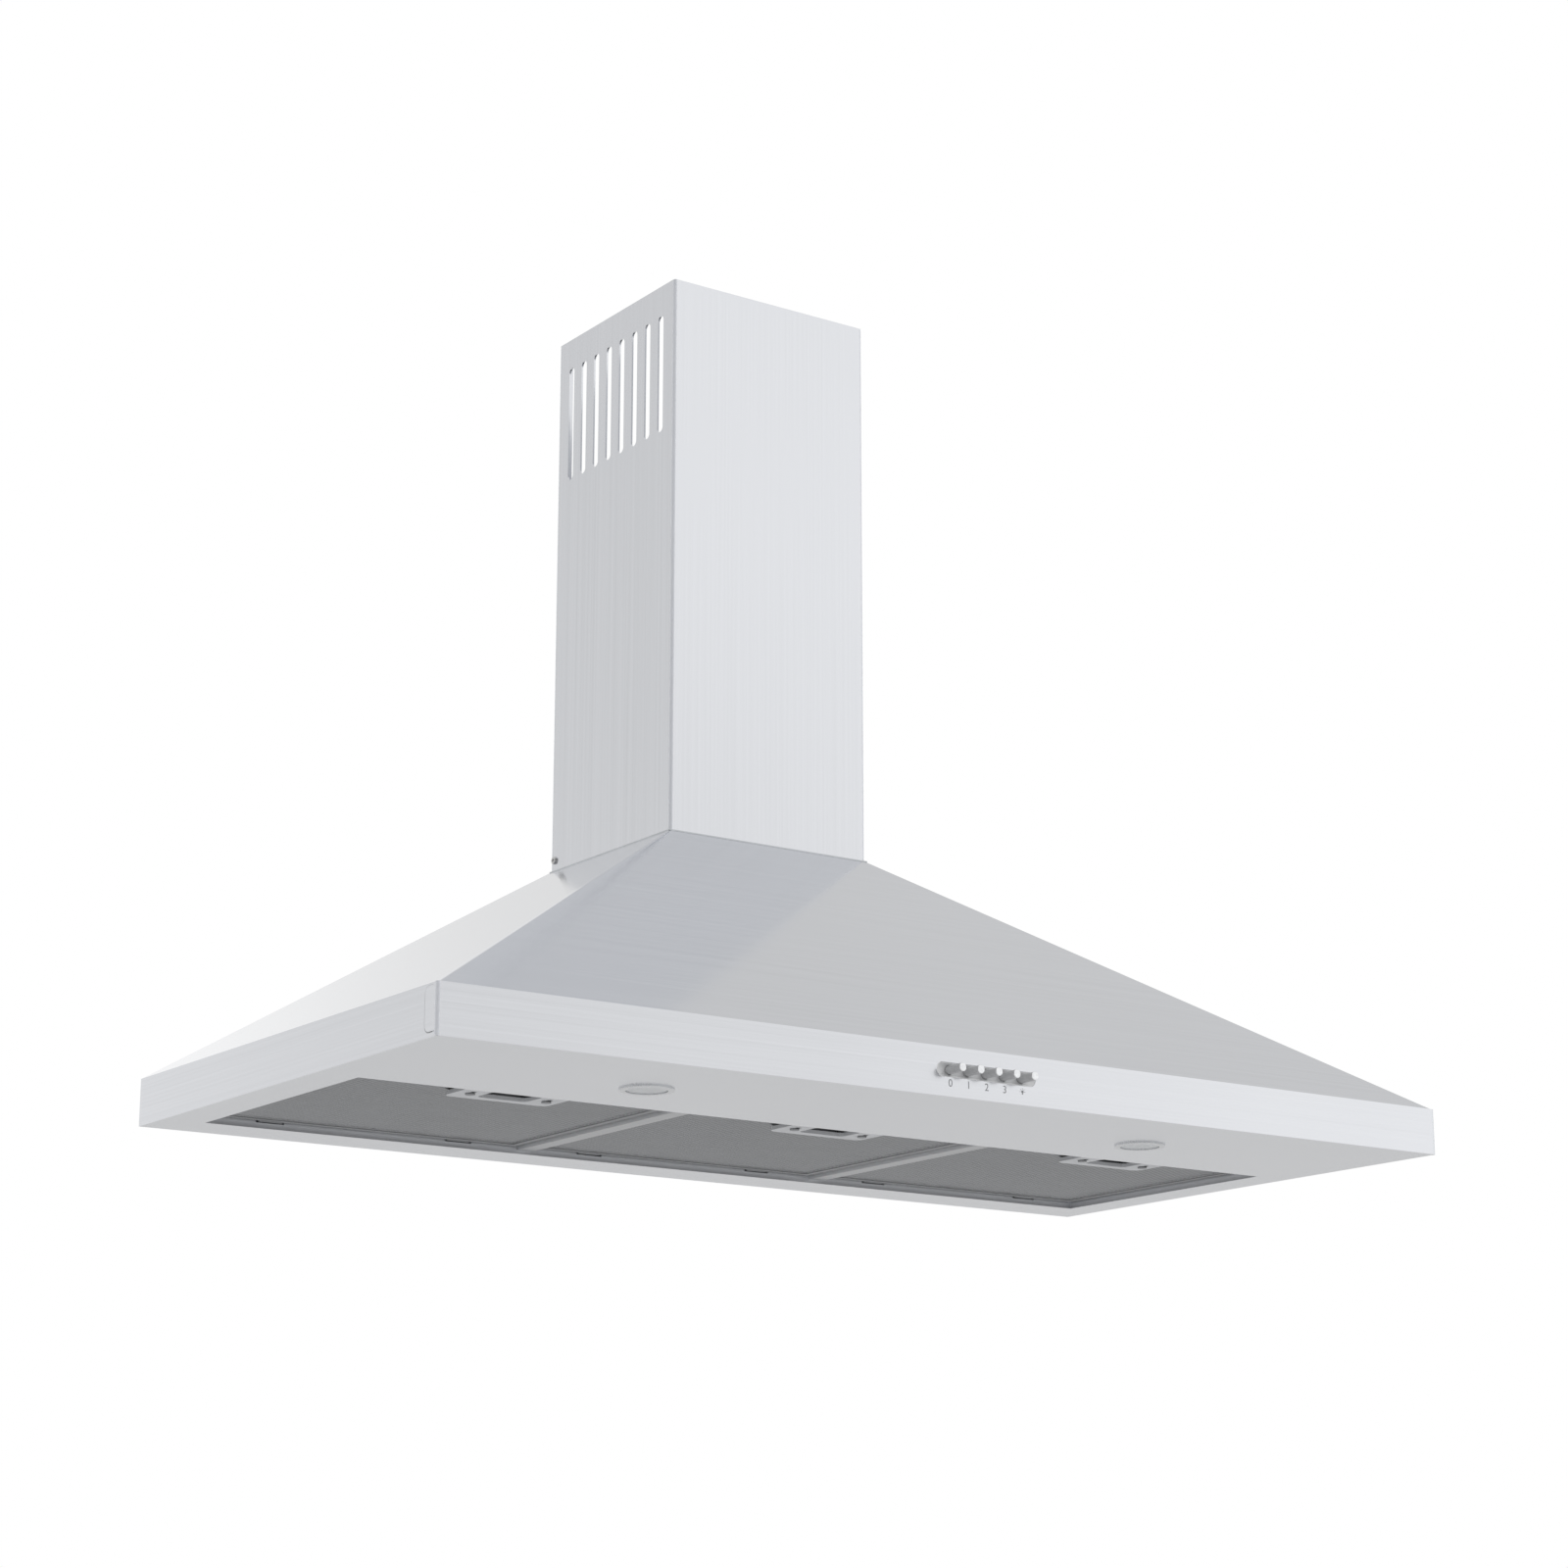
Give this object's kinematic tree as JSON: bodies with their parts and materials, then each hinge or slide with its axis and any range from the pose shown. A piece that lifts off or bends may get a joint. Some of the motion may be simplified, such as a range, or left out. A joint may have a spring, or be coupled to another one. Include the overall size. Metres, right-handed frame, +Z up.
{
  "type": "pyramid range hood",
  "caption": "Wall-mounted pyramid range hood in brushed stainless steel with a slotted telescoping chimney, hinged grease filters, round lamps and push buttons on the front rim.",
  "frame": {"origin": "on the wall plane, in the middle of the hood's width, level with the bottom rim", "axes": "+X to the right seen from the front, +Y into the wall, +Z up; the front faces -Y"},
  "size_m": [1, 0.5215, 0.7866],
  "materials": {
    "stainless": "fine brushed",
    "galvanised": "galvanised",
    "screws": "zinc plated",
    "filter_aluminium": "dull",
    "filter_mesh": "expanded mesh",
    "latch_plastic": "satin grey",
    "button_metal": "satin",
    "switch_plastic": "moulded",
    "bezel_plastic": "moulded",
    "blower_plastic": "moulded",
    "motor_paint": "satin",
    "pale_plastic": "moulded",
    "lead_plastic": "extruded sheath",
    "lamp_metal": "satin",
    "lamp_glass": "frosted"
  },
  "bodies": {
    "hood": {"canopy_shell": "stainless", "front_fascia": "stainless", "bottom_frame": "stainless", "lower_chimney": "stainless", "filter_rail_1": "stainless", "filter_rail_2": "stainless", "back_panel": "galvanised", "top_plate": "galvanised", "motor_bracket": "galvanised", "chimney_screws": "screws", "blower_screws": "screws", "motor_screws": "screws", "lid_screws": "screws", "switch_block": "switch_plastic", "inlet_guard": "switch_plastic", "cable_gland": "switch_plastic", "control_box": "switch_plastic", "control_box_lid": "switch_plastic", "lamp_can_left": "switch_plastic", "lamp_can_right": "switch_plastic", "blower_housing_left": "blower_plastic", "blower_housing_right": "blower_plastic", "blower_neck": "blower_plastic", "outlet_collar": "blower_plastic", "switch_bezel": "bezel_plastic", "motor_body": "motor_paint", "terminal_block": "pale_plastic", "motor_capacitor": "pale_plastic", "lamp_driver": "pale_plastic", "lamp_module_left": "pale_plastic", "lamp_module_right": "pale_plastic", "switch_lead": "lead_plastic", "motor_lead": "lead_plastic", "lamp_lead_left": "lead_plastic", "lamp_lead_right": "lead_plastic", "lamp_bezel_left": "lamp_metal", "lamp_bezel_right": "lamp_metal", "lamp_lens_left": "lamp_glass", "lamp_lens_right": "lamp_glass"},
    "chimney_extension": {"upper_chimney": "stainless", "chimney_wall_bracket": "galvanised"},
    "flap_front": {"damper_flap_front": "blower_plastic"},
    "flap_rear": {"damper_flap_rear": "blower_plastic"},
    "fan": {"impeller": "blower_plastic", "impeller_nut": "screws", "motor_shaft": "screws"},
    "stop_button": {"button_stop": "button_metal"},
    "low_button": {"button_low": "button_metal"},
    "medium_button": {"button_medium": "button_metal"},
    "high_button": {"button_high": "button_metal"},
    "light_button": {"button_light": "button_metal"},
    "filter_left": {"filter_frame_1": "filter_aluminium", "filter_mesh_1": "filter_mesh"},
    "latch_left": {"filter_latch_1": "latch_plastic"},
    "filter_middle": {"filter_frame_2": "filter_aluminium", "filter_mesh_2": "filter_mesh"},
    "latch_middle": {"filter_latch_2": "latch_plastic"},
    "filter_right": {"filter_frame_3": "filter_aluminium", "filter_mesh_3": "filter_mesh"},
    "latch_right": {"filter_latch_3": "latch_plastic"}
  },
  "joints": [
    {"name": "chimney_extend", "type": "slide", "parent": "hood", "child": "chimney_extension", "axis": [0, 0, 1], "range_m": [0, 0.4]},
    {"name": "flap_front_hinge", "type": "hinge", "parent": "hood", "child": "flap_front", "pos_m": [0, -0.1045, 0.27805], "axis": [-1, 0, 0], "range_deg": [0, 80]},
    {"name": "flap_rear_hinge", "type": "hinge", "parent": "hood", "child": "flap_rear", "pos_m": [0, -0.0955, 0.27805], "axis": [1, 0, 0], "range_deg": [0, 80]},
    {"name": "fan_spin", "type": "hinge", "parent": "hood", "child": "fan", "pos_m": [0, -0.1605, 0.138], "axis": [1, 0, 0], "continuous": true},
    {"name": "stop_button_press", "type": "slide", "parent": "hood", "child": "stop_button", "axis": [0, 1, 0], "range_m": [0, 0.0035], "stiffness_N_per_m": 400, "springref_m": -0.002},
    {"name": "low_button_press", "type": "slide", "parent": "hood", "child": "low_button", "axis": [0, 1, 0], "range_m": [0, 0.0035], "stiffness_N_per_m": 400, "springref_m": -0.002},
    {"name": "medium_button_press", "type": "slide", "parent": "hood", "child": "medium_button", "axis": [0, 1, 0], "range_m": [0, 0.0035], "stiffness_N_per_m": 400, "springref_m": -0.002},
    {"name": "high_button_press", "type": "slide", "parent": "hood", "child": "high_button", "axis": [0, 1, 0], "range_m": [0, 0.0035], "stiffness_N_per_m": 400, "springref_m": -0.002},
    {"name": "light_button_press", "type": "slide", "parent": "hood", "child": "light_button", "axis": [0, 1, 0], "range_m": [0, 0.0035], "stiffness_N_per_m": 400, "springref_m": -0.002},
    {"name": "filter_left_hinge", "type": "hinge", "parent": "hood", "child": "filter_left", "pos_m": [-0.313, -0.0485, 0.0066], "axis": [1, 0, 0], "range_deg": [0, 50]},
    {"name": "latch_left_slide", "type": "slide", "parent": "filter_left", "child": "latch_left", "axis": [0, 1, 0], "range_m": [0, 0.006], "stiffness_N_per_m": 300, "springref_m": -0.003},
    {"name": "filter_middle_hinge", "type": "hinge", "parent": "hood", "child": "filter_middle", "pos_m": [0, -0.0485, 0.0066], "axis": [1, 0, 0], "range_deg": [0, 50]},
    {"name": "latch_middle_slide", "type": "slide", "parent": "filter_middle", "child": "latch_middle", "axis": [0, 1, 0], "range_m": [0, 0.006], "stiffness_N_per_m": 300, "springref_m": -0.003},
    {"name": "filter_right_hinge", "type": "hinge", "parent": "hood", "child": "filter_right", "pos_m": [0.313, -0.0485, 0.0066], "axis": [1, 0, 0], "range_deg": [0, 50]},
    {"name": "latch_right_slide", "type": "slide", "parent": "filter_right", "child": "latch_right", "axis": [0, 1, 0], "range_m": [0, 0.006], "stiffness_N_per_m": 300, "springref_m": -0.003}
  ]
}
